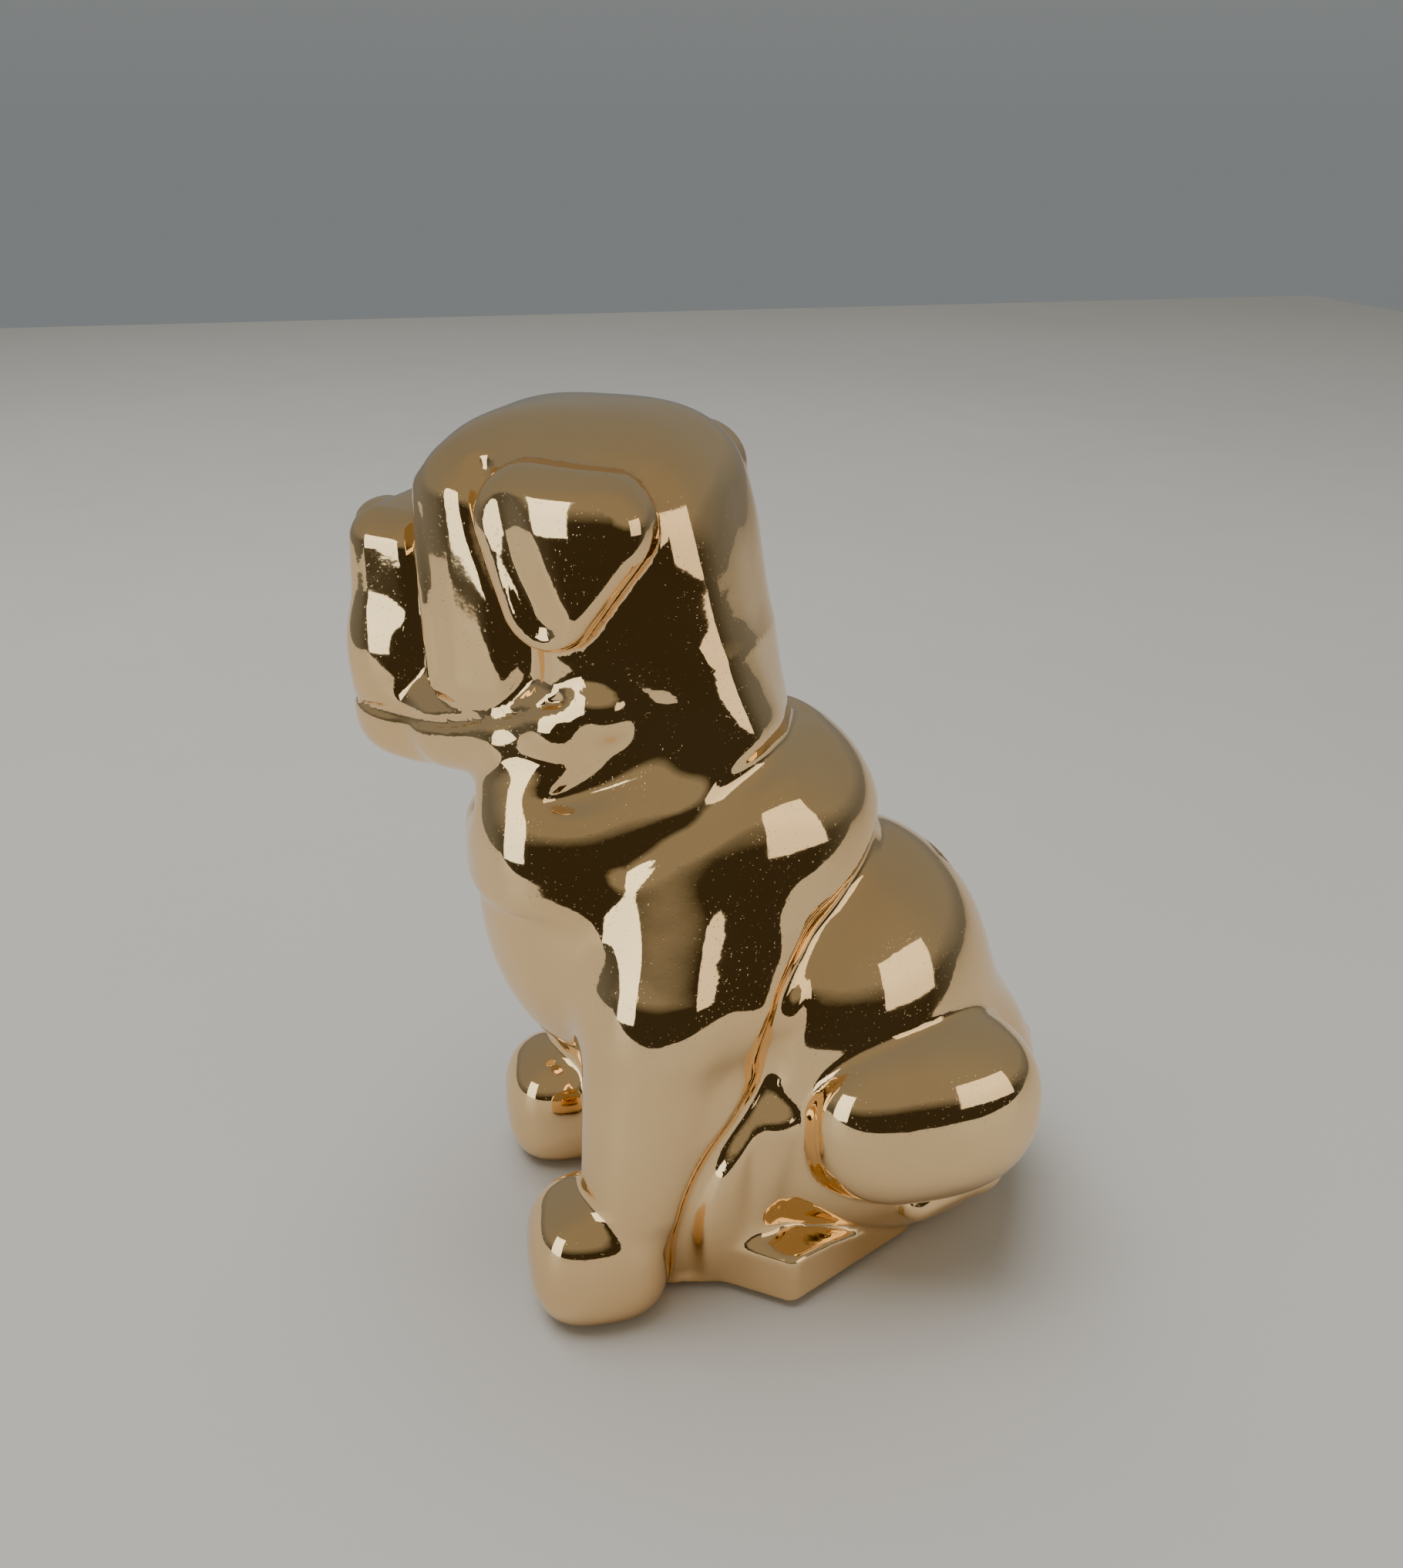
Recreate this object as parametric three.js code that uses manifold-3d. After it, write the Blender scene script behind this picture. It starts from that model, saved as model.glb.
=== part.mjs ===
// Coin bank in the shape of a seated puppy: one slip-cast ceramic shell with its coin slot on
// the spine, a soft plug in its base and four small self-adhesive foot pads.
// Units are millimetres. The puppy faces -Y, its left side is +X, and the table is z = 0.
import * as THREE from "three";
import { mergeVertices } from "three/addons/utils/BufferGeometryUtils.js";
import Module from "manifold-3d";

// ---------------------------------------------------------------- driving sizes
const HEAD_TURN = 31; // degrees the head is turned to the puppy's right
const NECK_AXIS_Y = -14; // the upright line that the head turns about
const OUTER_GRID = 4.5; // spacing of the facets outside, and inside
const INNER_GRID = 8;
const WALL = 5; // thickness of the cast shell
const PAD_T = 1.2; // foot pads
const PAD_R = 4.2;
const GAP = 0.3; // between pieces that touch
const BASE_Z = PAD_T + GAP; // underside of the shell
const FLOOR_T = 5.5; // thickness of the shell's floor
const PLUG_Y = 8; // centre of the plug, on the midline
const HOLE_R = 13.5; // hole for the plug
const PLUG_TOP = BASE_Z + FLOOR_T + 5;
const RECESS_R = 17.6; // shallow recess that keeps the plug's flange off the table
const RECESS_T = 2.6;
const SLOT = { width: 4.6, length: 35, y: 52, z: 66, lean: 25, depth: 26 }; // along the spine

// ---------------------------------------------------------------- distance fields
// A field takes a point [x, y, z] and returns its distance to a surface, negative inside.
const rad = THREE.MathUtils.degToRad;
const clamp = THREE.MathUtils.clamp;

const blend = (a, b, k) => {
  const h = Math.max(k - Math.abs(a - b), 0) / k;
  return Math.min(a, b) - (h * h * h * k) / 6;
};
const carve = (a, b, k) => -blend(-a, -b, k);

// Turns a point into the frame of a form that is tilted about X, then turned about Z.
function into(p, centre, tilt = 0, yaw = 0) {
  const x = p[0] - centre[0];
  const y = p[1] - centre[1];
  const z = p[2] - centre[2];
  const cz = Math.cos(rad(yaw));
  const sz = Math.sin(rad(yaw));
  const cx = Math.cos(rad(tilt));
  const sx = Math.sin(rad(tilt));
  const v = -x * sz + y * cz;
  return [x * cz + y * sz, v * cx + z * sx, -v * sx + z * cx];
}

// Superellipsoid: power 2 is an egg, and a higher power is boxier.
function egg(p, centre, radii, power = 2, tilt = 0, yaw = 0) {
  const q = into(p, centre, tilt, yaw);
  let sum = 0;
  let slope = 0;
  for (let i = 0; i < 3; i++) {
    const a = Math.abs(q[i]) / radii[i] + 1e-6;
    sum += a ** power;
    slope += (a ** (power - 1) / radii[i]) ** 2;
  }
  const gradient = Math.sqrt(slope) / sum ** ((power - 1) / power);
  return (sum ** (1 / power) - 1) / Math.max(gradient, 1e-6);
}

function roundedBox(p, centre, half, r, tilt = 0) {
  const q = into(p, centre, tilt).map((v, i) => Math.abs(v) - half[i] + r);
  return Math.hypot(...q.map((v) => Math.max(v, 0))) + Math.min(Math.max(...q), 0) - r;
}

// Round cone from a to b, with its own radius at each end.
function limb(p, a, b, ra, rb) {
  const ba = b.map((v, i) => v - a[i]);
  const pa = p.map((v, i) => v - a[i]);
  const dot = (u, v) => u[0] * v[0] + u[1] * v[1] + u[2] * v[2];
  const l2 = dot(ba, ba);
  const rr = ra - rb;
  const a2 = l2 - rr * rr;
  const y = dot(pa, ba);
  const z = y - l2;
  const x = pa.map((v, i) => v * l2 - ba[i] * y);
  const x2 = dot(x, x);
  const k = Math.sign(rr) * rr * rr * x2;
  if (Math.sign(z) * a2 * z * z * l2 > k) return Math.sqrt(x2 + z * z * l2) / l2 - rb;
  if (Math.sign(y) * a2 * y * y * l2 < k) return Math.sqrt(x2 + y * y * l2) / l2 - ra;
  return (Math.sqrt((x2 * a2) / l2) + y * rr) / l2 - ra;
}

// Smooth path through a few points, for creases and rolls.
const path = (...points) =>
  new THREE.CatmullRomCurve3(points.map((q) => new THREE.Vector3(...q)), false, "catmullrom", 0.5)
    .getPoints(4 * (points.length - 1))
    .map((v) => v.toArray());

// Presses a soft groove of the given depth and width into a surface along a path. A negative
// depth raises a roll.
function groove(p, distance, line, depth, width) {
  let nearest = Infinity;
  for (let i = 1; i < line.length; i++) {
    const [a, b] = [line[i - 1], line[i]];
    const e = [b[0] - a[0], b[1] - a[1], b[2] - a[2]];
    const w = [p[0] - a[0], p[1] - a[1], p[2] - a[2]];
    const h = clamp((w[0] * e[0] + w[1] * e[1] + w[2] * e[2]) / (e[0] ** 2 + e[1] ** 2 + e[2] ** 2), 0, 1);
    nearest = Math.min(nearest, (w[0] - e[0] * h) ** 2 + (w[1] - e[1] * h) ** 2 + (w[2] - e[2] * h) ** 2);
  }
  return distance + depth * Math.exp(-nearest / (width * width));
}

// Distance in the plane to the triangle a, b, c, whose corners run anticlockwise.
function triangle(u, v, a, b, c) {
  let nearest = Infinity;
  let inside = Infinity;
  for (const [s, t] of [[a, b], [b, c], [c, a]]) {
    const [ex, ey, wx, wy] = [t[0] - s[0], t[1] - s[1], u - s[0], v - s[1]];
    const h = clamp((wx * ex + wy * ey) / (ex * ex + ey * ey), 0, 1);
    nearest = Math.min(nearest, (wx - ex * h) ** 2 + (wy - ey * h) ** 2);
    inside = Math.min(inside, ex * wy - ey * wx);
  }
  return Math.sqrt(nearest) * (inside > 0 ? -1 : 1);
}

const mirror = (p) => [Math.abs(p[0]), p[1], p[2]];
const turned = (p, degrees) => {
  const [c, s, y] = [Math.cos(rad(degrees)), Math.sin(rad(degrees)), p[1] - NECK_AXIS_Y];
  return [p[0] * c - y * s, p[0] * s + y * c, p[2]];
};

// ---------------------------------------------------------------- head
// In the head's own frame: x across the face, y = 0 on the neck axis.
const PHILTRUM = path([0, -56, 141], [0, -57, 118]);
const CHEEK_FOLD = path([6, -40, 157], [14, -38.5, 151], [17.6, -38, 137], [18, -38.5, 124], [17, -42, 116]);
const CHEEK_ROLL = path([17, -35.5, 156], [21.5, -34.4, 140], [22, -34.4, 124], [20.5, -37.5, 117]);
const MOUTH = path([0, -58, 114.3], [10, -57, 114.3], [17, -48, 114.4], [20.8, -36, 114.8],
  [22.3, -24, 117.3], [23, -15, 120.2], [23.4, -9, 123]);
const EAR_GROOVE = path([21, -22, 160], [24, -20, 150], [24, -16, 139], [23, -14.5, 129], [22, -17, 119]);
const EAR_DISH = path([31.5, -15.5, 156], [31.5, -13.5, 148], [31, -10.5, 141], [30, -9, 138]);
const EYE_HOLLOW = path([9, -37, 148], [12.5, -36, 147]);
const JAW_HOLLOW = path([0, -38, 99.5], [13, -33, 99], [19.5, -23, 100.8], [23, -12, 104],
  [24, -3, 108.5], [23.5, 4.5, 114], [22, 9.5, 121]);

// Drooping triangular ear: it leaves the skull sideways, then hangs straight down.
function ear(m) {
  const [x, y, z] = m;
  const r = 3.8;
  const outline = triangle(y, z, [-13, 154], [-9, 141.5], [-0.5, 153.5]) - 8.8 + r;
  const drop = clamp((165 - z) / 12, 0, 3.2);
  const fold = Math.sqrt(1 - (1 - Math.min(drop, 1)) ** 2);
  const middle = 18.6 + 6.8 * fold - 0.5 * Math.max(drop - 1, 0) - 0.01 * (y + 7) ** 2;
  const across = Math.abs(x - middle) - 1.3;
  const corner = Math.hypot(Math.max(outline, 0), Math.max(across, 0));
  return corner + Math.min(Math.max(outline, across), 0) - r;
}

function head(p) {
  const q = turned(p, HEAD_TURN);
  const m = mirror(q);
  let d = egg(q, [0, -12, 141.5], [23.5, 27, 27.2], 3); // skull
  d = blend(d, roundedBox(m, [12, -25, 139.5], [11.5, 11.5, 24], 9), 7); // brow and cheek
  d = blend(d, egg(m, [12, -11, 128], [10.5, 16, 13], 2.5), 5); // rear cheek
  let muzzle = roundedBox(m, [0, -42.4, 131.2], [17, 12, 18.8], 6, -4);
  muzzle = blend(muzzle, egg(m, [8.5, -47, 124], [9.8, 9, 11], 2.3), 5);
  d = blend(d, muzzle, 2);
  let jaw = egg(q, [0, -32.3, 113.5], [18.6, 26.6, 11.8], 3.2, 3);
  jaw = blend(jaw, limb(m, [13.5, -34, 112.6], [16, -21, 113.8], 8.8, 8.8), 3);
  jaw = blend(jaw, limb(m, [16, -21, 113.8], [17, -11, 117.3], 8.8, 8.6), 2);
  jaw = blend(jaw, limb(m, [17, -11, 117.3], [17, -4.5, 121.5], 8.6, 8), 2);
  d = blend(d, egg(m, [0, -53, 143.5], [6.5, 4, 4.6], 2.4), 2); // nose
  d = groove(m, d, EYE_HOLLOW, 1.4, 3.6);
  d = blend(d, egg(m, [11, -34, 146.8], [4.8, 4.2, 4.2]), 1.2); // eye
  d = groove(m, d, PHILTRUM, 1.6, 1.8);
  d = groove(m, d, CHEEK_FOLD, 2.2, 1.6);
  d = groove(m, d, CHEEK_ROLL, -1.3, 2);
  d = groove(m, d, EAR_GROOVE, 2.4, 2.4);
  d = blend(d, jaw, 2.5);
  d = groove(m, d, MOUTH, 1, 1.1);
  d = blend(d, ear(m), 1.5);
  return groove(m, d, EAR_DISH, 2, 3.2);
}

// ---------------------------------------------------------------- body
// The side crease runs from the spine down behind the shoulder to the hind foot.
const SIDE_CREASE = path([0, 30, 93], [8, 27.5, 92], [15, 23, 88.5], [20.5, 16.5, 82.8], [24.5, 10, 76.5],
  [27.8, 4.8, 70.5], [29, 1.4, 63.5], [28.3, 0.6, 56], [28.2, 0.4, 50], [29.5, -4.5, 42.8],
  [30.5, -10, 35.5], [30.5, -14, 27], [29.5, -15.5, 18], [28, -15, 5]);
// The collar crease runs from the nape down and forward round the throat.
const COLLAR = path([0, 12.5, 113], [8, 10.5, 113], [14.5, 7.5, 112.6], [19, 3.5, 112], [23, -2.5, 109.5],
  [26, -8, 106.3], [27.5, -13, 103.2], [27.5, -19, 100.5], [26, -26, 96]);

// Boxy column that turns with the head as it rises.
function neck(p) {
  const rise = clamp((p[2] - 92) / 44, 0, 1);
  const t = rise * rise * (3 - 2 * rise);
  const q = turned(p, HEAD_TURN * t);
  const across = Math.abs(q[0]) / (22.8 - 3.3 * t);
  const along = Math.abs(q[1] + 4.3 - 0.8 * t) / (32.3 - 9.8 * t - 0.2 * Math.max(p[2] - 130, 0));
  const side = ((across ** 3.2 + along ** 3.2) ** (1 / 3.2) - 1) * (22.8 - 3.3 * t) * 1.02;
  return carve(carve(side, p[2] - 154, 12), 84 - p[2], 6);
}

// Splayed wedge: three-cornered on the table, flat above, and lower towards the heel.
function hindFoot(m) {
  const [x, y, z] = m;
  const r = 1.7;
  const outline = triangle(x, y, [33, 4.5], [19.5, 31], [22, -11.5]) - 3 + r;
  const top = 12.6 - 0.03 * Math.max(y - 6, 0) ** 1.75;
  const height = Math.max(z - top, -8 - z) + r;
  const corner = Math.hypot(Math.max(outline, 0), Math.max(height, 0));
  return corner + Math.min(Math.max(outline, height), 0) - r;
}

function body(p) {
  const m = mirror(p);
  let d = egg(p, [0, 26, 27], [32, 39, 31], 2.2); // rump
  d = blend(d, egg(p, [0, 20, 53], [31, 33, 35]), 16); // back
  d = blend(d, egg(p, [0, -6, 26], [27, 24, 34], 2.6), 10); // belly
  d = blend(d, egg(p, [0, -4, 90], [28, 31.5, 25.5], 2.2), 5); // shoulders
  let fore = egg(p, [0, -18, 81], [25, 31, 40], 2.1); // chest
  fore = blend(fore, limb(m, [11, -12, 98], [19.5, -17, 68], 15, 16.5), 8); // upper arm
  fore = blend(fore, limb(m, [11, -1, 98], [16.5, -4, 66], 15, 15.5), 8); // shoulder blade
  fore = blend(fore, limb(m, [22.5, -20, 60], [25, -25, 26], 13, 10), 8); // foreleg
  fore = blend(fore, egg(m, [14, -12, 36], [18, 15, 44], 2.6), 8); // flank behind it
  d = blend(d, fore, 4);
  d = blend(d, egg(m, [24.5, -32, 12.5], [12, 13.8, 14.8], 2.6), 4); // forepaw
  const thigh = egg(m, [26.5, 31, 38.5], [15.5, 24, 19], 2.4, 2);
  const shin = limb(m, [23, 3, 38], [20.5, -2, 17], 7.5, 9);
  d = blend(d, blend(thigh, blend(shin, hindFoot(m), 9), 1.5), 2.5);
  let tail = blend(
    limb(p, [0, 59.5, 31], [15, 54.5, 28], 7, 6.6),
    limb(p, [15, 54.5, 28], [26.5, 43.5, 22], 6.6, 6), 3);
  tail = blend(tail, limb(p, [26.5, 43.5, 22], [29.5, 31, 17.5], 6, 4.5), 3);
  return blend(d, tail, 1.2);
}

function puppy(p) {
  let d = blend(body(p), neck(p), 5);
  d = groove(mirror(p), d, SIDE_CREASE, 3.4, 2.6);
  d = groove(mirror(p), d, COLLAR, 2, 2.6);
  d = groove(mirror(turned(p, HEAD_TURN)), d, JAW_HOLLOW, 3, 3.6);
  return blend(d, head(p), 3.5);
}

// The coin chamber: torso and the root of the neck, but not the legs or the head.
function chamber(p) {
  let d = egg(p, [0, 26, 30], [26, 33, 26], 2.2);
  d = blend(d, egg(p, [0, 8, 27], [20, 28, 25], 3), 6); // down to the plug
  d = blend(d, egg(p, [0, 18, 54], [26, 30, 32]), 10);
  d = blend(d, egg(p, [0, -14, 72], [24, 25, 40], 2.2), 10);
  d = blend(d, limb(p, [0, -12, 92], [0, -13, 104], 19, 16), 10);
  return Math.max(d, puppy(p) + WALL);
}

// ---------------------------------------------------------------- from field to facets
// Dual contouring on a cubic grid: a vertex in each cell that the surface crosses, moved onto
// the surface, and a quad for each crossed grid edge.
function facets(field, low, high, step) {
  const count = low.map((v, i) => Math.ceil((high[i] - v) / step) + 1);
  const at = (i, j, k) => (i * count[1] + j) * count[2] + k;
  const point = (i, j, k) => [low[0] + i * step, low[1] + j * step, low[2] + k * step];
  const value = new Float64Array(count[0] * count[1] * count[2]);
  const eachCell = (last, visit) => {
    for (let i = 0; i < count[0] - last; i++)
      for (let j = 0; j < count[1] - last; j++)
        for (let k = 0; k < count[2] - last; k++) visit(i, j, k);
  };
  eachCell(0, (i, j, k) => (value[at(i, j, k)] = field(point(i, j, k))));

  // Where two folds meet inside one cell, a corner between them is filled, so that the surface
  // stays a single sheet there.
  const corners = [0, 1, 2, 3, 4, 5, 6, 7].map((n) => [n & 1, (n >> 1) & 1, (n >> 2) & 1]);
  const faces = [[0, 1, 2, 3], [4, 5, 6, 7], [0, 1, 4, 5], [2, 3, 6, 7], [0, 2, 4, 6], [1, 3, 5, 7]];
  const fill = (where) => (value[where] = -0.02 * step);
  for (let pass = 0, filled = true; filled && pass < 20; pass++) {
    filled = false;
    eachCell(1, (i, j, k) => {
      const where = corners.map((c) => at(i + c[0], j + c[1], k + c[2]));
      const inside = (n) => value[where[n]] < 0;
      for (const [a, b, c, d] of faces)
        if (inside(a) === inside(d) && inside(b) === inside(c) && inside(a) !== inside(b)) {
          const open = inside(a) ? [b, c] : [a, d];
          fill(where[value[where[open[0]]] < value[where[open[1]]] ? open[0] : open[1]]);
          filled = true;
        }
      const filledCorners = corners.map((_, n) => n).filter(inside);
      const emptyCorners = corners.map((_, n) => n).filter((n) => !inside(n));
      for (const pair of [filledCorners, emptyCorners])
        if (pair.length === 2 && pair[0] + pair[1] === 7) {
          fill(where[pair === emptyCorners ? pair[0] : pair[0] ^ 1]);
          filled = true;
        }
    });
  }

  const edges = [];
  for (let a = 0; a < 8; a++)
    for (const bit of [1, 2, 4]) if (!(a & bit)) edges.push([corners[a], corners[a | bit]]);
  const vertexOf = new Map();
  const positions = [];
  eachCell(1, (i, j, k) => {
    const sum = [0, 0, 0];
    let crossings = 0;
    for (const [a, b] of edges) {
      const va = value[at(i + a[0], j + a[1], k + a[2])];
      const vb = value[at(i + b[0], j + b[1], k + b[2])];
      if (va < 0 === vb < 0) continue;
      const t = va / (va - vb);
      for (let n = 0; n < 3; n++) sum[n] += a[n] + t * (b[n] - a[n]);
      crossings++;
    }
    if (!crossings) return;
    const corner = point(i, j, k);
    vertexOf.set(at(i, j, k), positions.length / 3);
    positions.push(...ontoSurface(field, corner.map((v, n) => v + (step * sum[n]) / crossings), step));
  });

  const index = [];
  eachCell(1, (i, j, k) => {
    const here = [i, j, k];
    for (let axis = 0; axis < 3; axis++) {
      const [u, v] = [(axis + 1) % 3, (axis + 2) % 3];
      if (!here[u] || !here[v]) continue;
      const next = [...here];
      next[axis]++;
      const inside = value[at(...here)] < 0;
      if (inside === value[at(...next)] < 0) continue;
      const cell = (du, dv) => {
        const c = [...here];
        c[u] += du;
        c[v] += dv;
        return vertexOf.get(at(...c));
      };
      const quad = [cell(-1, -1), cell(0, -1), cell(0, 0), cell(-1, 0)];
      if (!inside) quad.reverse();
      index.push(quad[0], quad[1], quad[2], quad[0], quad[2], quad[3]);
    }
  });
  const geometry = new THREE.BufferGeometry();
  geometry.setAttribute("position", new THREE.Float32BufferAttribute(positions, 3));
  return geometry.setIndex(index);
}

// A few Newton steps along the field's slope, kept near the cell that the vertex belongs to.
function ontoSurface(field, start, step) {
  let p = start;
  const e = 0.2;
  for (let n = 0; n < 3; n++) {
    const d = field(p);
    const g = p.map((_, i) => {
      const [a, b] = [[...p], [...p]];
      a[i] += e;
      b[i] -= e;
      return (field(a) - field(b)) / (2 * e);
    });
    const scale = clamp(d / Math.max(g[0] ** 2 + g[1] ** 2 + g[2] ** 2, 0.1), -0.3 * step, 0.3 * step);
    p = p.map((v, i) => v - scale * g[i]);
  }
  return p;
}

// ---------------------------------------------------------------- solids
const wasm = await Module();
wasm.setup();

function solid(geometry) {
  const plain = new THREE.BufferGeometry().setAttribute("position", geometry.getAttribute("position"));
  plain.setIndex(geometry.index);
  const merged = mergeVertices(plain, 1e-4);
  return new wasm.Manifold(new wasm.Mesh({
    numProp: 3,
    vertProperties: new Float32Array(merged.attributes.position.array),
    triVerts: new Uint32Array(merged.index.array),
  }));
}

function geometryOf(manifold) {
  const mesh = manifold.getMesh();
  const geometry = new THREE.BufferGeometry();
  geometry.setAttribute("position", new THREE.BufferAttribute(mesh.vertProperties, 3));
  geometry.setIndex(new THREE.BufferAttribute(mesh.triVerts, 1));
  return geometry;
}

// Turned piece about the upright line through x = 0, y = y0. Profile points are [radius, z].
const turnedPiece = (profile, y0, sides = 40) =>
  new THREE.LatheGeometry(profile.map(([r, z]) => new THREE.Vector2(r, z)), sides)
    .rotateX(Math.PI / 2)
    .translate(0, y0, 0);
const disc = (radius, from, to, y0) => turnedPiece([[0, from], [radius, from], [radius, to], [0, to]], y0);

const bank = new THREE.Group();
bank.name = "coin_bank";

function addPiece(name, manifold, colour, roughness, metalness) {
  const material = new THREE.MeshStandardMaterial({ color: colour, roughness, metalness });
  const mesh = new THREE.Mesh(geometryOf(manifold), material);
  mesh.name = name;
  bank.add(mesh);
}

// Shell: the puppy cut flat underneath, hollowed out, and opened by the slot and the plug hole.
const LOW = [-47, -76, -14];
const HIGH = [49, 77, 176];
const below = new THREE.BoxGeometry(200, 200, 40).translate(0, 0, BASE_Z - 20);
const slotCut = new THREE.BoxGeometry(SLOT.width, SLOT.depth, SLOT.length)
  .rotateX(rad(SLOT.lean))
  .translate(0, SLOT.y, SLOT.z);
const floorCut = new THREE.BoxGeometry(200, 200, 40).translate(0, 0, BASE_Z + FLOOR_T - 20);
const hollow = solid(facets(chamber, LOW, HIGH, INNER_GRID)).subtract(solid(floorCut));
const shell = solid(facets(puppy, LOW, HIGH, OUTER_GRID))
  .subtract(solid(below))
  .subtract(hollow)
  .subtract(solid(slotCut))
  .subtract(solid(disc(HOLE_R, BASE_Z - 1, PLUG_TOP + 2, PLUG_Y)))
  .subtract(solid(disc(RECESS_R, BASE_Z - 1, BASE_Z + RECESS_T, PLUG_Y)));
addPiece("ceramic_body", shell, "#d9ad6e", 0.08, 1);

// Plug: flange, tapered barrel with two sealing ribs, and a finger recess with a grip bar.
const flangeTop = BASE_Z + RECESS_T - GAP;
const flangeT = 1.7;
const barrelR = HOLE_R - 1;
const ribR = HOLE_R - GAP;
const cupR = 9.8;
const rib = (z) => [[barrelR, z - 1], [ribR, z - 0.4], [ribR, z + 0.4], [barrelR, z + 1]];
const plugProfile = [
  [0, flangeTop - flangeT],
  [RECESS_R - 1.1, flangeTop - flangeT],
  [RECESS_R - 0.8, flangeTop - 1.2],
  [RECESS_R - 0.8, flangeTop],
  [barrelR, flangeTop],
  ...rib(flangeTop + 1.5),
  ...rib(flangeTop + 4.2),
  [barrelR - 0.4, PLUG_TOP - 1],
  [barrelR - 1.4, PLUG_TOP],
  [0, PLUG_TOP],
];
const cup = disc(cupR, 0, PLUG_TOP - 2, PLUG_Y);
const gripBar = new THREE.BoxGeometry(2 * cupR + 1, 3, PLUG_TOP - flangeTop)
  .translate(0, PLUG_Y, (PLUG_TOP + flangeTop) / 2 - 0.8);
addPiece("stopper", solid(turnedPiece(plugProfile, PLUG_Y)).subtract(solid(cup)).add(solid(gripBar)),
  "#e9e6df", 0.6, 0);

// Foot pads: domed discs, one under each forepaw and one under each side of the rump.
const padProfile = [[0, 0], [PAD_R - 0.5, 0], [PAD_R, 0.5], [PAD_R, PAD_T], [0, PAD_T]];
for (const [place, x, y] of [["front", 25, -32], ["rear", 9, 38]])
  for (const [side, sign] of [["left", 1], ["right", -1]]) {
    const pad = turnedPiece(padProfile, y, 24).translate(sign * x, 0, 0);
    addPiece(`foot_pad_${place}_${side}`, solid(pad), "#2b2a28", 0.95, 0);
  }

// The origin is under the middle of the bank's box.
const box = new THREE.Box3().setFromObject(bank);
bank.position.set(-(box.min.x + box.max.x) / 2, -(box.min.y + box.max.y) / 2, 0);

export default bank;
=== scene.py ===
"""Looks for the puppy coin bank: mirror-gold plated ceramic figure, soft stopper and foot pads."""

import math

import bmesh
import bpy
import numpy as np
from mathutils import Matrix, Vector


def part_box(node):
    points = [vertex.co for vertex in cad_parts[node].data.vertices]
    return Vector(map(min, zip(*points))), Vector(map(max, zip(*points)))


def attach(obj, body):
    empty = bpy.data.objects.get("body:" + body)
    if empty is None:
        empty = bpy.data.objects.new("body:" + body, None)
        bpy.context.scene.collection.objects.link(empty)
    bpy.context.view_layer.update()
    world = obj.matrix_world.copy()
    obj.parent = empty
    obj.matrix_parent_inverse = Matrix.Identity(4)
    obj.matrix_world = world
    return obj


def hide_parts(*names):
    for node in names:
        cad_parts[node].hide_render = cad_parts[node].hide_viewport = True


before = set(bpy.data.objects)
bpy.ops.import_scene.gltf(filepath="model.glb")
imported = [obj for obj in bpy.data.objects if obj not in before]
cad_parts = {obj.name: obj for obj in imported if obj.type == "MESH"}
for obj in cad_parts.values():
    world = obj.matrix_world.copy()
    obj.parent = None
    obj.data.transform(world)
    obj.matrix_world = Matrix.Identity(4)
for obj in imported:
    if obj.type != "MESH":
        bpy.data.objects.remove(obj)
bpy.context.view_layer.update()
MM = 0.001

# ------------------------------------------------------------------ driving sizes, in mm
HEAD_TURN = 31.0  # degrees the head is turned to the puppy's right
NECK_AXIS_Y = -14.0  # the upright line that the head turns about
WALL = 5.0
BASE_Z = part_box("ceramic_body")[0][2] / MM  # underside of the shell
FLOOR_T = 5.5
RECESS_T = 2.6
STOPPER_LOW, STOPPER_HIGH = (np.array(corner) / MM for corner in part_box("stopper"))
STOPPER_Y = 8.0  # in the sculpt's own frame, where the puppy's midline is x = 0
# From the sculpt's frame to the bank's, whose origin is under the middle of its box.
SHIFT = (STOPPER_LOW + STOPPER_HIGH) / 2 * (1, 1, 0) - (0, STOPPER_Y, 0)
FLANGE_R = (STOPPER_HIGH[0] - STOPPER_LOW[0]) / 2
RECESS_R = FLANGE_R + 0.8
HOLE_R = 13.5
SLOT_CENTRE = (0.0, 52.0, 66.0)  # coin slot along the spine
SLOT_HALF = (2.3, 13.0, 17.5)
SLOT_LEAN = 25.0
GRID = 1.1  # spacing of the sculpted surface's facets
EDGE = 1.6  # rounding where glaze has softened a cut edge
PLATED_DEPTH = 4.3  # how far down the walls of the slot and the hole the plating reaches
FIT = 0.3  # gap between the stopper and the shell
CUP_R = 9.8  # finger recess in the stopper
GRIP_T = 3.0  # thickness of the grip bar across the recess

# ------------------------------------------------------------------ distance fields
# A field takes points as a 3 x N array and returns distances to a surface, negative inside.


def column(v):
    return np.array(v, np.float32)[:, None]


def blend(a, b, k):
    h = np.maximum(k - np.abs(a - b), 0) / k
    return np.minimum(a, b) - h * h * h * (k / 6)


def carve(a, b, k):
    return -blend(-a, -b, k)


def into(p, centre, tilt=0.0, yaw=0.0):
    """Points in the frame of a form that is tilted about X, then turned about Z."""
    x, y, z = p - column(centre)
    cz, sz = math.cos(math.radians(yaw)), math.sin(math.radians(yaw))
    cx, sx = math.cos(math.radians(tilt)), math.sin(math.radians(tilt))
    v = -x * sz + y * cz
    return np.stack([x * cz + y * sz, v * cx + z * sx, -v * sx + z * cx])


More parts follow.
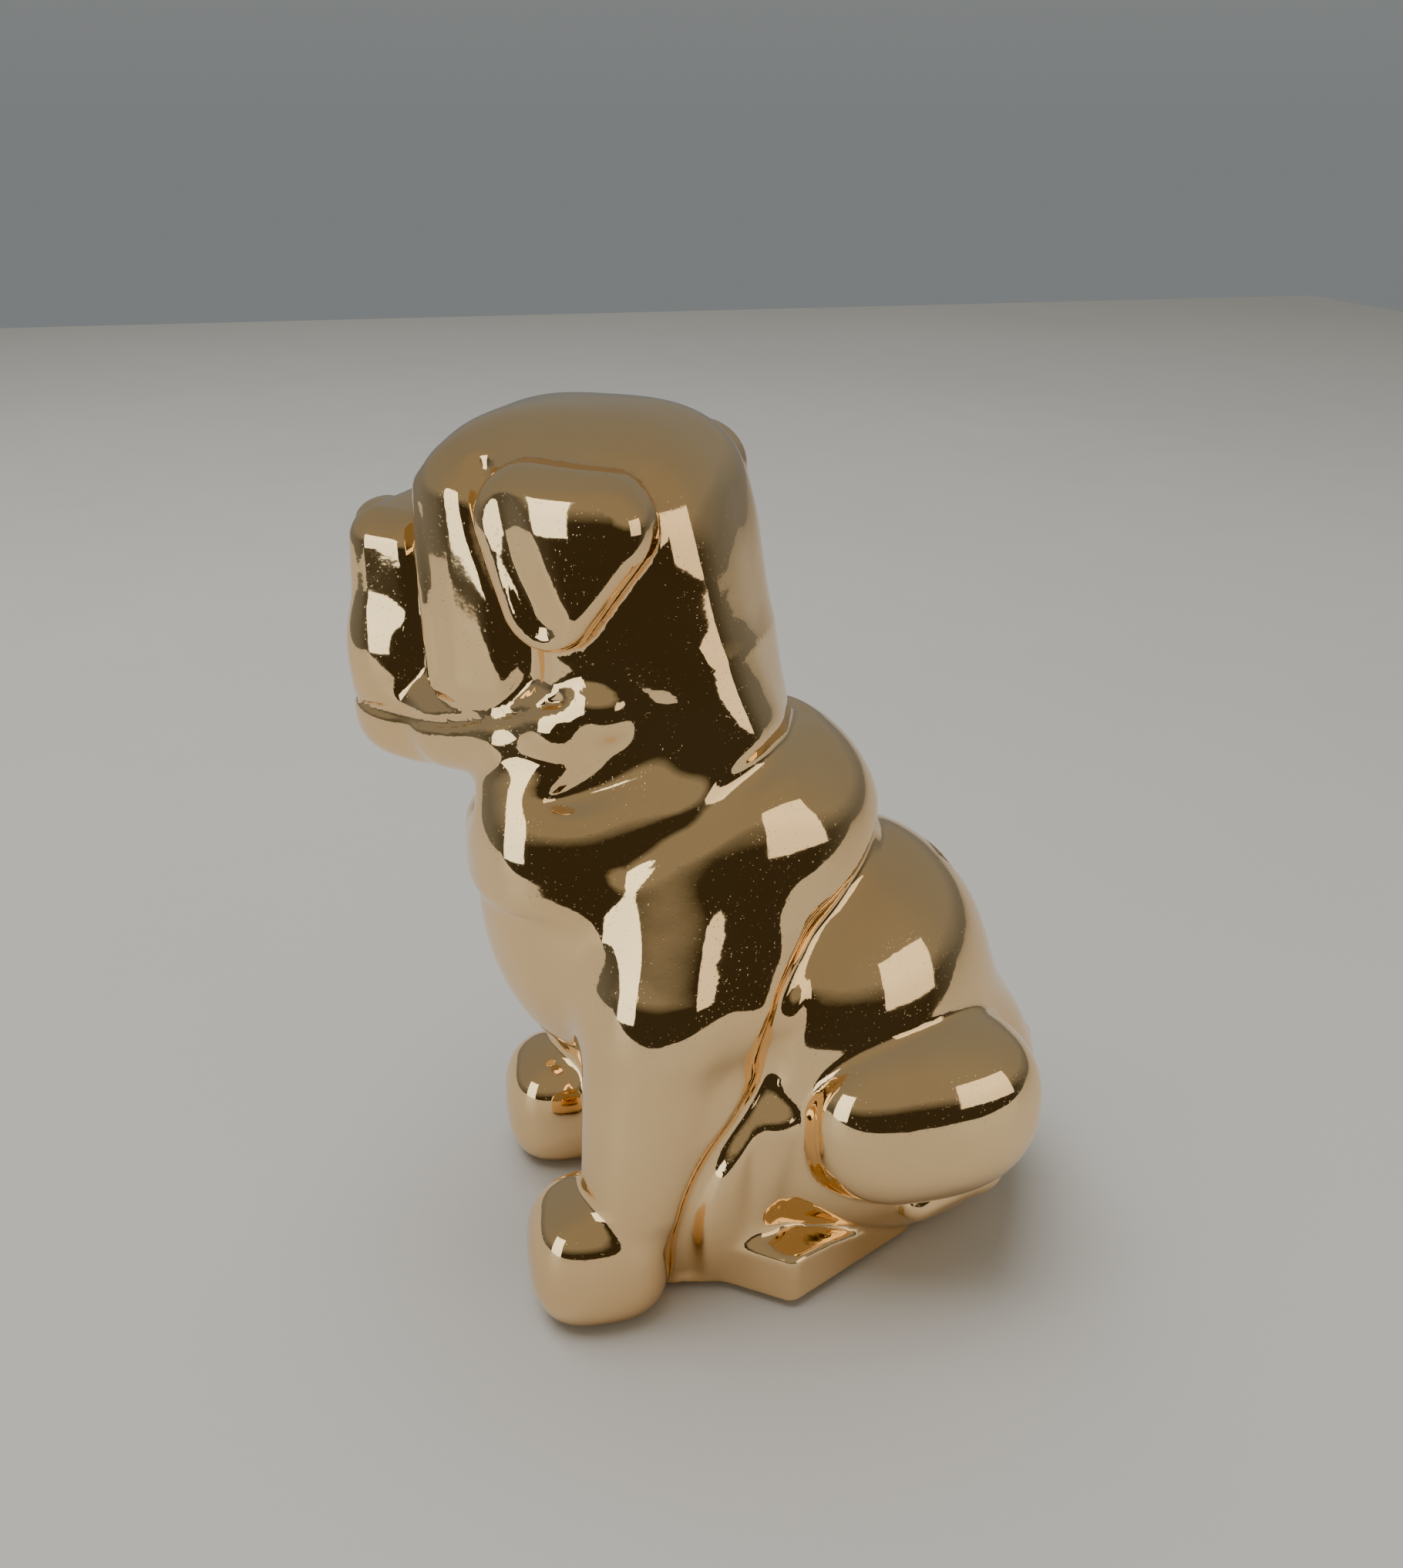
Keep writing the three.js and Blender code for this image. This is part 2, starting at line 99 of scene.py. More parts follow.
def egg(p, centre, radii, power=2.0, tilt=0.0, yaw=0.0):
    """Superellipsoid: power 2 is an egg, and a higher power is boxier."""
    r = column(radii)
    a = np.abs(into(p, centre, tilt, yaw)) / r + np.float32(1e-6)
    total = (a**power).sum(0)
    slope = np.sqrt(((a ** (power - 1) / r) ** 2).sum(0)) / total ** ((power - 1) / power)
    return (total ** (1 / power) - 1) / np.maximum(slope, 1e-6)


def rounded_box(p, centre, half, r, tilt=0.0):
    q = np.abs(into(p, centre, tilt)) - (column(half) - r)
    return np.sqrt((np.maximum(q, 0) ** 2).sum(0)) + np.minimum(q.max(0), 0) - r


def limb(p, a, b, ra, rb):
    """Round cone from a to b, with its own radius at each end."""
    ba, pa = column(b) - column(a), p - column(a)
    l2 = float((ba * ba).sum())
    rr = ra - rb
    a2 = l2 - rr * rr
    y = (pa * ba).sum(0)
    z = y - l2
    x2 = ((pa * l2 - ba * y) ** 2).sum(0)
    k = np.sign(rr) * rr * rr * x2
    past_b = np.sign(z) * a2 * z * z * l2 > k
    before_a = ~past_b & (np.sign(y) * a2 * y * y * l2 < k)
    d = (np.sqrt(x2 * a2 / l2) + y * rr) / l2 - ra
    d = np.where(past_b, np.sqrt(x2 + z * z * l2) / l2 - rb, d)
    return np.where(before_a, np.sqrt(x2 + y * y * l2) / l2 - ra, d)


def path(*points):
    """Smooth path through a few points, for creases and rolls."""
    pts = [np.array(q, float) for q in points]
    pts = [2 * pts[0] - pts[1], *pts, 2 * pts[-1] - pts[-2]]
    out = []
    for a, b, c, d in zip(pts, pts[1:], pts[2:], pts[3:]):
        for t in np.linspace(0, 1, 6, endpoint=False):
            square, cube = 2 * a - 5 * b + 4 * c - d, 3 * b - a - 3 * c + d
            out.append(0.5 * (2 * b + (c - a) * t + square * t**2 + cube * t**3))
    return [*out, pts[-2]]


def groove(p, d, line, depth, width):
    """Presses a soft groove into a surface along a path. A negative depth raises a roll."""
    reach = 3.2 * width
    points = np.array(line, np.float32)
    low, high = points.min(0) - reach, points.max(0) + reach
    near = np.nonzero(((p > low[:, None]) & (p < high[:, None])).all(0))[0]
    if not len(near):
        return d
    q = p[:, near]
    nearest = np.full(len(near), np.inf, np.float32)
    for a, b in zip(points, points[1:]):
        e = (b - a)[:, None]
        w = q - a[:, None]
        h = np.clip((w * e).sum(0) / float((e * e).sum()), 0, 1)
        nearest = np.minimum(nearest, ((w - e * h) ** 2).sum(0))
    d = d.copy()
    d[near] += depth * np.exp(-nearest / (width * width))
    return d


def triangle(u, v, a, b, c):
    """Distance in the plane to the triangle a, b, c, whose corners run anticlockwise."""
    nearest = np.full(u.shape, np.inf)
    inside = np.full(u.shape, np.inf)
    for s, t in ((a, b), (b, c), (c, a)):
        ex, ey, wx, wy = t[0] - s[0], t[1] - s[1], u - s[0], v - s[1]
        h = np.clip((wx * ex + wy * ey) / (ex * ex + ey * ey), 0, 1)
        nearest = np.minimum(nearest, (wx - ex * h) ** 2 + (wy - ey * h) ** 2)
        inside = np.minimum(inside, ex * wy - ey * wx)
    return np.sqrt(nearest) * np.where(inside > 0, -1, 1)


def mirror(p):
    return np.stack([np.abs(p[0]), p[1], p[2]])


def turned(p, degrees):
    a = np.radians(degrees)
    c, s, y = np.cos(a), np.sin(a), p[1] - NECK_AXIS_Y
    return np.stack([p[0] * c - y * s, p[0] * s + y * c, p[2]])


# ------------------------------------------------------------------ head
# In the head's own frame: x across the face, y = 0 on the neck axis.
PHILTRUM = path((0, -53.9, 139.5), (0, -55.3, 119))
CHEEK_FOLD = path(
    (6, -40, 157), (14, -38.5, 151), (17.6, -38, 137), (18, -38.5, 124), (17, -42, 116)
)
CHEEK_ROLL = path((17, -35.5, 156), (21.5, -34.4, 140), (22, -34.4, 124), (20.5, -37.5, 117))
MOUTH = path(
    (0, -58, 114.3), (10, -57, 114.3), (17, -48, 114.4), (20.8, -36, 114.8),
    (22.3, -24, 117.3), (23, -15, 120.2), (23.4, -9, 123),
)
EAR_GROOVE = path((21, -22, 160), (24, -20, 150), (24, -16, 139), (23, -14.5, 129), (22, -17, 119))
EAR_DISH = path((31.5, -15.5, 156), (31.5, -13.5, 148), (31, -10.5, 141), (30, -9, 138))
EYE_HOLLOW = path((9, -37, 148), (12.5, -36, 147))
JAW_HOLLOW = path(
    (0, -38, 99.5), (13, -33, 99), (19.5, -23, 100.8), (23, -12, 104),
    (24, -3, 108.5), (23.5, 4.5, 114), (22, 9.5, 121),
)


def ear(m):
    """Drooping triangular ear: it leaves the skull sideways, then hangs straight down."""
    x, y, z = m
    r = 3.8
    outline = triangle(y, z, (-13, 154), (-9, 141.5), (-0.5, 153.5)) - 8.8 + r
    drop = np.clip((165 - z) / 12, 0, 3.2)
    fold = np.sqrt(1 - (1 - np.minimum(drop, 1)) ** 2)
    middle = 18.6 + 6.8 * fold - 0.5 * np.maximum(drop - 1, 0) - 0.01 * (y + 7) ** 2
    across = np.abs(x - middle) - 1.3
    corner = np.hypot(np.maximum(outline, 0), np.maximum(across, 0))
    return corner + np.minimum(np.maximum(outline, across), 0) - r


def head(p):
    q = turned(p, HEAD_TURN)
    m = mirror(q)
    d = egg(q, (0, -12, 141.5), (23.5, 27, 27.2), 3)  # skull
    d = blend(d, rounded_box(m, (12, -25, 139.5), (11.5, 11.5, 24), 9), 7)  # brow and cheek
    d = blend(d, egg(m, (12, -11, 128), (10.5, 16, 13), 2.5), 5)  # rear cheek
    muzzle = rounded_box(m, (0, -42.4, 131.2), (17, 12, 18.8), 6, -4)
    muzzle = blend(muzzle, egg(m, (8.5, -47, 124), (9.8, 9, 11), 2.3), 5)
    d = blend(d, muzzle, 2)
    jaw = egg(q, (0, -32.3, 113.5), (18.6, 26.6, 11.8), 3.2, 3)
    jaw = blend(jaw, limb(m, (13.5, -34, 112.6), (16, -21, 113.8), 8.8, 8.8), 3)
    jaw = blend(jaw, limb(m, (16, -21, 113.8), (17, -11, 117.3), 8.8, 8.6), 2)
    jaw = blend(jaw, limb(m, (17, -11, 117.3), (17, -4.5, 121.5), 8.6, 8), 2)
    d = blend(d, egg(m, (0, -53.8, 144), (6.8, 4.4, 4.8), 2.4), 1.2)  # nose
    d = groove(m, d, EYE_HOLLOW, 1.4, 3.6)
    d = blend(d, egg(m, (11, -34, 146.8), (4.8, 4.2, 4.2)), 1.2)  # eye
    d = groove(m, d, PHILTRUM, 1.6, 1.8)
    d = groove(m, d, CHEEK_FOLD, 2.2, 1.6)
    d = groove(m, d, CHEEK_ROLL, -1.3, 2)
    d = groove(m, d, EAR_GROOVE, 2.4, 2.4)
    d = blend(d, jaw, 2.5)
    d = groove(m, d, MOUTH, 1, 1.1)
    d = blend(d, ear(m), 1.5)
    return groove(m, d, EAR_DISH, 2, 3.2)


# ------------------------------------------------------------------ body
# The side crease runs from the spine down behind the shoulder to the hind foot.
SIDE_CREASE = path(
    (0, 30, 93), (8, 27.5, 92), (15, 23, 88.5), (20.5, 16.5, 82.8), (24.5, 10, 76.5),
    (27.8, 4.8, 70.5), (29, 1.4, 63.5), (28.3, 0.6, 56), (28.2, 0.4, 50), (29.5, -4.5, 42.8),
    (30.5, -10, 35.5), (30.5, -14, 27), (29.5, -15.5, 18), (28, -15, 5),
)
# The collar crease runs from the nape down and forward round the side of the neck.
COLLAR = path(
    (0, 12.5, 113), (8, 10.5, 113), (14.5, 7.5, 112.6), (19, 3.5, 112), (23, -2.5, 109.5),
    (26, -8, 106.3), (27.5, -13, 103.2), (27.5, -19, 100.5), (26, -26, 96),
)


def neck(p):
    """Boxy column that turns with the head as it rises."""
    rise = np.clip((p[2] - 92) / 44, 0, 1)
    t = rise * rise * (3 - 2 * rise)
    q = turned(p, HEAD_TURN * t)
    across = np.abs(q[0]) / (22.8 - 3.3 * t)
    along = np.abs(q[1] + 4.3 - 0.8 * t) / (32.3 - 9.8 * t - 0.2 * np.maximum(p[2] - 130, 0))
    side = ((across**3.2 + along**3.2) ** (1 / 3.2) - 1) * (22.8 - 3.3 * t) * 1.02
    return carve(carve(side, p[2] - 154, 12), 84 - p[2], 6)


def hind_foot(m):
    """Splayed wedge: three-cornered on the table, flat above, and lower towards the heel."""
    x, y, z = m
    r = 1.7
    outline = triangle(x, y, (33, 4.5), (19.5, 31), (22, -11.5)) - 3 + r
    top = 12.6 - 0.03 * np.maximum(y - 6, 0) ** 1.75
    height = np.maximum(z - top, -8 - z) + r
    corner = np.hypot(np.maximum(outline, 0), np.maximum(height, 0))
    return corner + np.minimum(np.maximum(outline, height), 0) - r


def body(p):
    m = mirror(p)
    d = egg(p, (0, 26, 27), (32, 39, 31), 2.2)  # rump
    d = blend(d, egg(p, (0, 20, 53), (31, 33, 35)), 16)  # back
    d = blend(d, egg(p, (0, -6, 26), (27, 24, 34), 2.6), 10)  # belly
    d = blend(d, egg(p, (0, -4, 90), (28, 31.5, 25.5), 2.2), 5)  # shoulders
    fore = egg(p, (0, -18, 81), (25, 31, 40), 2.1)  # chest
    fore = blend(fore, limb(m, (11, -12, 98), (19.5, -17, 68), 15, 16.5), 8)  # upper arm
    fore = blend(fore, limb(m, (11, -1, 98), (16.5, -4, 66), 15, 15.5), 8)  # shoulder blade
    fore = blend(fore, limb(m, (22.5, -20, 60), (25, -25, 26), 13, 10), 8)  # foreleg
    fore = blend(fore, egg(m, (14, -12, 36), (18, 15, 44), 2.6), 8)  # flank behind it
    d = blend(d, fore, 4)
    d = blend(d, egg(m, (24.5, -32, 12.5), (12, 13.8, 14.8), 2.6), 4)  # forepaw
    thigh = egg(m, (26.5, 31, 38.5), (15.5, 24, 19), 2.4, 2)
    shin = limb(m, (23, 3, 38), (20.5, -2, 17), 7.5, 9)
    d = blend(d, blend(thigh, blend(shin, hind_foot(m), 9), 1.5), 2.5)
    tail = limb(p, (0, 59.5, 31), (15, 54.5, 28), 7, 6.6)
    tail = blend(tail, limb(p, (15, 54.5, 28), (26.5, 43.5, 22), 6.6, 6), 3)
    tail = blend(tail, limb(p, (26.5, 43.5, 22), (29.5, 31, 17.5), 6, 4.5), 3)
    return blend(d, tail, 1.2)


def puppy(p):
    d = blend(body(p), neck(p), 5)
    d = groove(mirror(p), d, SIDE_CREASE, 3.4, 2.6)
    d = groove(mirror(p), d, COLLAR, 2, 2.6)
    d = groove(mirror(turned(p, HEAD_TURN)), d, JAW_HOLLOW, 3, 3.6)
    return blend(d, head(p), 3.5)


def chamber(p, outside):
    """The coin chamber: torso and the root of the neck, but not the legs or the head."""
    d = egg(p, (0, 26, 30), (26, 33, 26), 2.2)
    d = blend(d, egg(p, (0, 8, 27), (20, 28, 25), 3), 6)
    d = blend(d, egg(p, (0, 18, 54), (26, 30, 32)), 10)
    d = blend(d, egg(p, (0, -14, 72), (24, 25, 40), 2.2), 10)
    d = blend(d, limb(p, (0, -12, 92), (0, -13, 104), 19, 16), 10)
    d = np.maximum(d, outside + WALL)
    return carve(d, BASE_Z + FLOOR_T - p[2], 4)


def disc(p, radius, top):
    return np.maximum(np.hypot(p[0], p[1] - STOPPER_Y) - radius, p[2] - top)


def shell(p):
    """The hollow casting, with its flat base, coin slot and stopper hole."""
    outside = puppy(p)
    d = carve(outside, BASE_Z - p[2], EDGE)
    d = carve(d, -chamber(p, outside), EDGE)
    d = carve(d, -rounded_box(p, SLOT_CENTRE, SLOT_HALF, 1.2, SLOT_LEAN), EDGE)
    d = carve(d, -disc(p, HOLE_R, BASE_Z + FLOOR_T + 4), EDGE * 0.6)
    return carve(d, -disc(p, RECESS_R, BASE_Z + RECESS_T), EDGE * 0.6)


# ------------------------------------------------------------------ from field to mesh
def slope(field, p, e=0.12):
    g = np.empty_like(p)
    for axis in range(3):
        step = np.zeros((3, 1), np.float32)
        step[axis] = e
        g[axis] = (field(p + step) - field(p - step)) / (2 * e)
    return g


def sculpt(field, low, high, step):
    """Vertices (N x 3), quads (M x 4) and normals (N x 3) of a field's surface on a cubic grid."""
    axes = [np.arange(a, b + step, step, dtype=np.float32) for a, b in zip(low, high)]
    shape = [len(a) for a in axes]
    value = np.empty(shape, np.float32)
    yz = np.stack(np.meshgrid(axes[1], axes[2], indexing="ij")).reshape(2, -1)
    for start in range(0, shape[0], 8):
        xs = axes[0][start : start + 8]
        p = np.concatenate([np.repeat(xs, yz.shape[1])[None], np.tile(yz, len(xs))])
        value[start : start + 8] = field(p).reshape(len(xs), shape[1], shape[2])
    inside = value < 0
    cells = [n - 1 for n in shape]

    def corner(i, j, k):
        return inside[i : i + cells[0], j : j + cells[1], k : k + cells[2]]

    count = sum(corner(i, j, k).astype(np.int8) for i in (0, 1) for j in (0, 1) for k in (0, 1))
    cell = np.argwhere((count > 0) & (count < 8))
    number = np.full(cells, -1, np.int64)
    number[tuple(cell.T)] = np.arange(len(cell))
    total, crossings = np.zeros((len(cell), 3)), np.zeros(len(cell))
    for axis in range(3):
        u, v = (n for n in range(3) if n != axis)
        for du in (0, 1):
            for dv in (0, 1):
                offset = np.zeros(3, int)
                offset[u], offset[v] = du, dv
                a = cell + offset
                b = a.copy()
                b[:, axis] += 1
                va, vb = value[tuple(a.T)], value[tuple(b.T)]
                crossed = (va < 0) != (vb < 0)
                t = va[crossed] / (va[crossed] - vb[crossed])
                at = np.tile(offset.astype(float), (len(t), 1))
                at[:, axis] = t
                total[crossed] += at
                crossings[crossed] += 1
    verts = np.array(low) + step * (cell + total / crossings[:, None])

    quads = []
    for axis in range(3):
        u, v = (axis + 1) % 3, (axis + 2) % 3
        here, there = [slice(1, -1)] * 3, [slice(1, -1)] * 3
        here[axis], there[axis] = slice(0, -1), slice(1, None)
        a, b = inside[tuple(here)], inside[tuple(there)]
        for mask, order in ((a & ~b, (0, 1, 2, 3)), (~a & b, (3, 2, 1, 0))):
            base = np.argwhere(mask) + 1
            base[:, axis] -= 1
            ring = []
            for du, dv in ((-1, -1), (0, -1), (0, 0), (-1, 0)):
                c = base.copy()
                c[:, u] += du
                c[:, v] += dv
                ring.append(number[tuple(c.T)])
            quads.append(np.stack([ring[n] for n in order], 1))
    p = verts.T.astype(np.float32)
    for _ in range(2):
        g = slope(field, p)
        p = p - np.clip(field(p) / np.maximum((g * g).sum(0), 0.1), -0.5 * step, 0.5 * step) * g
    g = slope(field, p)
    return p.T, np.concatenate(quads), (g / np.maximum(np.sqrt((g * g).sum(0)), 1e-6)).T


def mesh_object(name, verts, faces, normals=None):
    """A smooth-shaded object from points in millimetres."""
    mesh = bpy.data.meshes.new(name)
    mesh.vertices.add(len(verts))
    mesh.vertices.foreach_set("co", (np.asarray(verts, float) * MM).ravel())
    size = len(faces[0])
    mesh.loops.add(size * len(faces))
    mesh.loops.foreach_set("vertex_index", np.asarray(faces).ravel())
    mesh.polygons.add(len(faces))
    mesh.polygons.foreach_set("loop_start", np.arange(0, size * len(faces), size))
    mesh.update(calc_edges=True)
    mesh.polygons.foreach_set("use_smooth", [True] * len(faces))
    if normals is not None:
        mesh.normals_split_custom_set_from_vertices(normals.tolist())
    made = bpy.data.objects.new(name, mesh)
    bpy.context.collection.objects.link(made)
    return made


# ------------------------------------------------------------------ materials
def material(name, colour, roughness, metallic=0.0):
    """A named material with its principled shader; detail is added by the callers."""
    mat = bpy.data.materials.new(name)
    mat.use_nodes = True
    shader = mat.node_tree.nodes["Principled BSDF"]
    shader.inputs["Base Color"].default_value = (*colour, 1)
    shader.inputs["Roughness"].default_value = roughness
    shader.inputs["Metallic"].default_value = metallic
    return mat, mat.node_tree, shader


def node(tree, kind, **settings):
    made = tree.nodes.new(kind)
    for key, value in settings.items():
        if key in made.inputs:
            made.inputs[key].default_value = value
        else:
            setattr(made, key, value)
    return made


def noise(tree, scale, detail=3.0, rough=0.5, stretch=(1, 1, 1)):
    """Noise over the object's own coordinates, with scale in cycles per metre."""
    where = node(tree, "ShaderNodeTexCoord")
    mapping = node(tree, "ShaderNodeMapping", Scale=stretch)
    made = node(tree, "ShaderNodeTexNoise", Scale=scale, Detail=detail, Roughness=rough)
    tree.links.new(where.outputs["Object"], mapping.inputs["Vector"])
    tree.links.new(mapping.outputs["Vector"], made.inputs["Vector"])
    return made.outputs["Fac"]


def ramp(tree, value, *stops):
    """Colour ramp from (position, colour) stops; a plain number is a grey."""
    made = node(tree, "ShaderNodeValToRGB")
    elements = made.color_ramp.elements
    while len(elements) < len(stops):
        elements.new(0.5)
    for element, (position, colour) in zip(elements, stops):
        element.position = position
        element.color = (colour,) * 3 + (1,) if isinstance(colour, (int, float)) else (*colour, 1)
    tree.links.new(value, made.inputs["Fac"])
    return made.outputs["Color"]


def bump(tree, shader, *layers):
    """Stacks (height, depth in metres) layers into the shader's normal."""
    before = None
    for height, distance in layers:
        made = node(tree, "ShaderNodeBump", Strength=1.0, Distance=distance)
        tree.links.new(height, made.inputs["Height"])
        if before is not None:
            tree.links.new(before, made.inputs["Normal"])
        before = made.outputs["Normal"]
    tree.links.new(before, shader.inputs["Normal"])


def multiply(tree, a, b):
    made = node(tree, "ShaderNodeMix", data_type="RGBA", blend_type="MULTIPLY")
    made.inputs["Factor"].default_value = 1
    tree.links.new(a, made.inputs["A"])
    tree.links.new(b, made.inputs["B"])
    return made.outputs["Result"]


def gold_plating():
    mat, tree, shader = material("mirror_gold_plating", (0.94, 0.66, 0.36), 0.05, 1.0)
    # The plating is a little redder where it is thin, in drifts some centimetres long.
    drift = ramp(tree, noise(tree, 38, 2), (0.3, (0.96, 0.69, 0.38)), (0.7, (0.92, 0.63, 0.33)))
    specks = ramp(tree, noise(tree, 2600, 2, 0.6), (0.2, (0.62, 0.52, 0.38)), (0.27, (1, 1, 1)))
    tree.links.new(multiply(tree, drift, specks), shader.inputs["Base Color"])
    # Handling leaves a faint haze on a surface that is otherwise a mirror.
    haze = ramp(tree, noise(tree, 70, 5, 0.62), (0.42, 0.035), (0.62, 0.06), (0.78, 0.12))
    tree.links.new(haze, shader.inputs["Roughness"])
    bump(
        tree, shader,
        (noise(tree, 95, 1), 0.00016),  # slow waves of the glaze under the plating
        (noise(tree, 420, 2), 0.000012),  # orange peel
        (ramp(tree, noise(tree, 1900, 1), (0.24, 0.0), (0.3, 1.0)), 0.00001),  # pinholes
    )
    return mat


def bare_ceramic():
    mat, tree, shader = material("bare_ceramic", (0.78, 0.74, 0.67), 0.7)
    body_colour = ramp(tree, noise(tree, 60, 4), (0.3, (0.8, 0.76, 0.69)), (0.7, (0.7, 0.64, 0.55)))
    grit = ramp(tree, noise(tree, 1500, 3), (0.25, (0.62, 0.55, 0.46)), (0.36, (1, 1, 1)))
    tree.links.new(multiply(tree, body_colour, grit), shader.inputs["Base Color"])
    matt = ramp(tree, noise(tree, 140, 3), (0.3, 0.55), (0.7, 0.85))
    tree.links.new(matt, shader.inputs["Roughness"])
    bump(tree, shader, (noise(tree, 160, 3), 0.0004), (noise(tree, 1800, 2), 0.00005))
    return mat


def soft_rubber(name, light, dark, roughness, grain):
    mat, tree, shader = material(name, light, roughness)
    colour = ramp(tree, noise(tree, 90, 4), (0.35, light), (0.7, dark))
    tree.links.new(colour, shader.inputs["Base Color"])
    matt = ramp(tree, noise(tree, 260, 4), (0.3, roughness - 0.12), (0.7, roughness + 0.1))
    tree.links.new(matt, shader.inputs["Roughness"])
    bump(tree, shader, (noise(tree, 700, 2), grain), (noise(tree, 3200, 2), grain * 0.4))
    shader.inputs["Subsurface Weight"].default_value = 0.1
    shader.inputs["Subsurface Radius"].default_value = (0.002, 0.0015, 0.001)
    return mat


def studio_floor():
    mat, tree, shader = material("pale_floor", (0.6, 0.585, 0.56), 0.5)
    tone = ramp(tree, noise(tree, 3, 3), (0.3, (0.61, 0.595, 0.57)), (0.7, (0.58, 0.565, 0.54)))
    tree.links.new(tone, shader.inputs["Base Color"])
    sheen = ramp(tree, noise(tree, 25, 4), (0.3, 0.42), (0.7, 0.55))
    tree.links.new(sheen, shader.inputs["Roughness"])
    return mat


# ------------------------------------------------------------------ shell
LOW, HIGH = (np.array(corner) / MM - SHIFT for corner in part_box("ceramic_body"))
MARGIN = 3.0
verts, quads, normals = sculpt(shell, LOW - MARGIN, HIGH + MARGIN, GRID)
figure = mesh_object("gold_figure", verts + SHIFT, quads, normals)
figure.data.materials.append(gold_plating())
figure.data.materials.append(bare_ceramic())
centres = verts[quads].mean(1)
bare = (puppy(centres.T.astype(np.float32)) < -PLATED_DEPTH) & (centres[:, 2] > BASE_Z + 0.6)
figure.data.polygons.foreach_set("material_index", bare.astype(np.int32))
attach(figure, "body")
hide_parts("ceramic_body")


# ------------------------------------------------------------------ stopper and pads
def lathe(name, profile, centre, sides=96):
    """Solid of revolution about an upright axis, from (radius, z) points in millimetres."""
    verts, faces = [], []
    for n in range(sides):
        a = 2 * math.pi * n / sides
        verts += [(centre[0] + r * math.cos(a), centre[1] + r * math.sin(a), z) for r, z in profile]
    rows = len(profile)
    for n in range(sides):
        for i in range(rows - 1):
            a, b = n * rows + i, (n + 1) % sides * rows + i
            faces.append((a, b, b + 1, a + 1))
    made = mesh_object(name, verts, faces)
    grid = bmesh.new()
    grid.from_mesh(made.data)
    bmesh.ops.remove_doubles(grid, verts=grid.verts, dist=1e-7)
    bmesh.ops.recalc_face_normals(grid, faces=grid.faces)
    grid.to_mesh(made.data)
    grid.free()
    for polygon in made.data.polygons:
        polygon.use_smooth = True
    return made


def rounded(made, width, segments=3):
    bevel = made.modifiers.new("rounding", "BEVEL")
    bevel.width, bevel.segments = width * MM, segments
    bevel.limit_method, bevel.angle_limit = "ANGLE", math.radians(25)
    bevel.harden_normals = True
    return made


def stopper_profile():
    """Closed section of the plug, from the middle of its finger recess out and round to its top."""
    low, high = STOPPER_LOW[2], STOPPER_HIGH[2]
    flange_r = FLANGE_R
    flange_top = BASE_Z + RECESS_T - FIT
    barrel, rib = HOLE_R - 1, HOLE_R - FIT
    section = [(0, high - 2), (CUP_R, high - 2), (CUP_R, low)]
    # A shallow ring is pressed into the flange round the finger recess.
    section += [(CUP_R + out, low + up) for out, up in ((1.2, 0), (1.5, 0.25), (2.1, 0.25), (2.4, 0))]
    section += [(flange_r - 0.3, low), (flange_r, low + 0.5)]
    section += [(flange_r, flange_top), (barrel, flange_top)]
    for z in (flange_top + 1.5, flange_top + 4.2):
        section += [(barrel, z - 1), (rib, z - 0.4), (rib, z + 0.4), (barrel, z + 1)]
    return section + [(barrel - 0.4, high - 1), (barrel - 1.4, high), (0, high)]


rubber = soft_rubber("stopper_rubber", (0.8, 0.78, 0.72), (0.7, 0.67, 0.6), 0.5, 0.00002)
plug = rounded(lathe("stopper_plug", stopper_profile(), SHIFT[:2] + (0, STOPPER_Y)), 0.25)
grip = bpy.data.meshes.new("stopper_grip")
grip_shape = bmesh.new()
bmesh.ops.create_cube(grip_shape, size=1)
grip_low, grip_high = BASE_Z + RECESS_T - 0.9, STOPPER_HIGH[2] - 1
for v in grip_shape.verts:
    waist, z = (0.75, grip_low) if v.co.z < 0 else (1.0, grip_high)
    x, y = v.co.x * 20.0 + SHIFT[0], v.co.y * GRIP_T * waist + SHIFT[1] + STOPPER_Y
    v.co = Vector((x, y, z)) * MM
bmesh.ops.bevel(grip_shape, geom=grip_shape.edges[:], offset=0.45 * MM, segments=4, affect="EDGES")
grip_shape.to_mesh(grip)
grip_shape.free()
grip.polygons.foreach_set("use_smooth", [True] * len(grip.polygons))
grip = bpy.data.objects.new("stopper_grip", grip)
bpy.context.collection.objects.link(grip)
for piece in (plug, grip):
    piece.data.materials.append(rubber)
    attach(piece, "stopper")
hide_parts("stopper")

pad_rubber = soft_rubber("pad_rubber", (0.05, 0.047, 0.043), (0.075, 0.07, 0.065), 0.75, 0.00003)
for place in ("front_left", "front_right", "rear_left", "rear_right"):
    low, high = (np.array(corner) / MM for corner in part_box("foot_pad_" + place))
    radius = (high[0] - low[0]) / 2
    dome = [(0, 0), (radius - 1.0, 0), (radius - 0.35, 0.12), (radius - 0.06, 0.45), (radius, 0.8)]
    section = [*dome, (radius, high[2] - 0.1), (radius - 0.1, high[2]), (0, high[2])]
    pad = lathe("pad_" + place, section, ((low[0] + high[0]) / 2, (low[1] + high[1]) / 2), 48)
    pad.data.materials.append(pad_rubber)
    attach(pad, "body")
    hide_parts("foot_pad_" + place)

